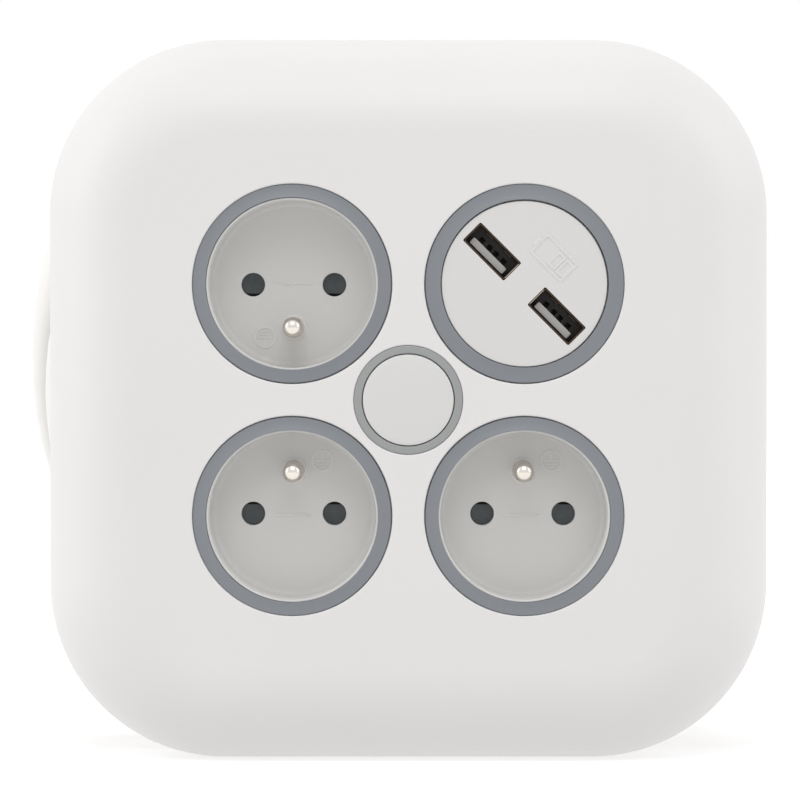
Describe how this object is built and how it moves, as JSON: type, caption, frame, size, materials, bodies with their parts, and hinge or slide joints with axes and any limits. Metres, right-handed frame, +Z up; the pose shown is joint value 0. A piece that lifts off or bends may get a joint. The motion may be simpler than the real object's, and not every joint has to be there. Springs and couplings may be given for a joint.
{
  "type": "cable reel",
  "caption": "Upright household cable reel: recessed mains sockets and a USB charger in a rounded square front, cable wound behind it, turning grip and parked plug at the back.",
  "frame": {"origin": "middle of the floor print: on the floor, under the reel's axis, half way between the button's crown and the back of the hand grip", "axes": "+Z up, -Y out of the socket face, +X to the right of a viewer who faces the sockets"},
  "size_m": [0.1779, 0.1199, 0.1713],
  "materials": {
    "housing": "fine satin moulded white",
    "cup_plastic": "satin moulded white",
    "ring_plastic": "satin blue-grey",
    "button_ring_plastic": "satin grey",
    "inner_plastic": "moulded dark grey",
    "usb_insulator": "moulded pale grey",
    "circuit_board": "green lacquered laminate",
    "nickel": "bright nickel plating on brass",
    "shell_steel": "tinned steel sheet",
    "contact_brass": "stamped brass",
    "axle_steel": "turned steel",
    "screw_steel": "zinc plated",
    "spring_steel": "bright spring steel",
    "cable_sheath": "white soft PVC",
    "plug_moulding": "white moulded PVC",
    "gland_rubber": "black rubber",
    "brown_core": "brown PVC",
    "blue_core": "blue PVC",
    "earth_core": "green and yellow PVC"
  },
  "bodies": {
    "reel_body": {"front_cover": "housing", "base_plate": "housing", "drum_core": "housing", "rear_plate": "housing", "rear_cover": "housing", "contact_carrier": "inner_plastic", "live_busbar": "contact_brass", "neutral_busbar": "contact_brass", "earth_busbar": "contact_brass", "socket_ring_upper_left": "ring_plastic", "socket_ring_lower_left": "ring_plastic", "socket_ring_lower_right": "ring_plastic", "usb_ring": "ring_plastic", "socket_cup_upper_left": "cup_plastic", "socket_cup_lower_left": "cup_plastic", "socket_cup_lower_right": "cup_plastic", "earth_pin_upper_left": "nickel", "earth_pin_lower_left": "nickel", "earth_pin_lower_right": "nickel", "shutter_spring_upper_left": "spring_steel", "shutter_spring_lower_left": "spring_steel", "shutter_spring_lower_right": "spring_steel", "usb_insert": "housing", "usb_board": "circuit_board", "usb_power_module": "inner_plastic", "usb_shell_upper": "shell_steel", "usb_shell_lower": "shell_steel", "usb_tongue_upper": "usb_insulator", "usb_tongue_lower": "usb_insulator", "button_ring": "button_ring_plastic", "thermal_cutout": "inner_plastic", "axle": "axle_steel", "axle_washer": "axle_steel", "axle_screw": "screw_steel", "cable_gland": "gland_rubber", "inner_lead": "cable_sheath", "cable_clamp": "inner_plastic", "clamp_screws": "screw_steel", "live_wire": "brown_core", "neutral_wire": "blue_core", "earth_wire": "earth_core", "base_screws": "screw_steel", "carrier_screws": "screw_steel", "drum_screws": "screw_steel", "rear_screws": "screw_steel", "cable_winding": "cable_sheath", "cable_tail": "cable_sheath", "plug_body": "plug_moulding", "plug_pins": "nickel", "plug_earth_strap": "nickel"},
    "hand_grip": {"hand_grip": "ring_plastic", "grip_cap": "housing"},
    "reset_button": {"reset_button": "housing"},
    "shutter_upper_left": {"shutter_upper_left": "inner_plastic"},
    "shutter_lower_left": {"shutter_lower_left": "inner_plastic"},
    "shutter_lower_right": {"shutter_lower_right": "inner_plastic"}
  },
  "joints": [
    {"name": "grip_spin", "type": "hinge", "parent": "reel_body", "child": "hand_grip", "pos_m": [0, 0.04, 0.08425], "axis": [0, 1, 0], "continuous": true},
    {"name": "button_press", "type": "slide", "parent": "reel_body", "child": "reset_button", "axis": [0, 1, 0], "range_m": [0, 0.002], "stiffness_N_per_m": 1500, "springref_m": -0.001},
    {"name": "shutter_slide_upper_left", "type": "slide", "parent": "reel_body", "child": "shutter_upper_left", "axis": [0, 0, 1], "range_m": [0, 0.006], "stiffness_N_per_m": 150, "springref_m": -0.003, "deforming": ["shutter_spring_upper_left"]},
    {"name": "shutter_slide_lower_left", "type": "slide", "parent": "reel_body", "child": "shutter_lower_left", "axis": [0, 0, -1], "range_m": [0, 0.006], "stiffness_N_per_m": 150, "springref_m": -0.003, "deforming": ["shutter_spring_lower_left"]},
    {"name": "shutter_slide_lower_right", "type": "slide", "parent": "reel_body", "child": "shutter_lower_right", "axis": [0, 0, -1], "range_m": [0, 0.006], "stiffness_N_per_m": 150, "springref_m": -0.003, "deforming": ["shutter_spring_lower_right"]}
  ]
}
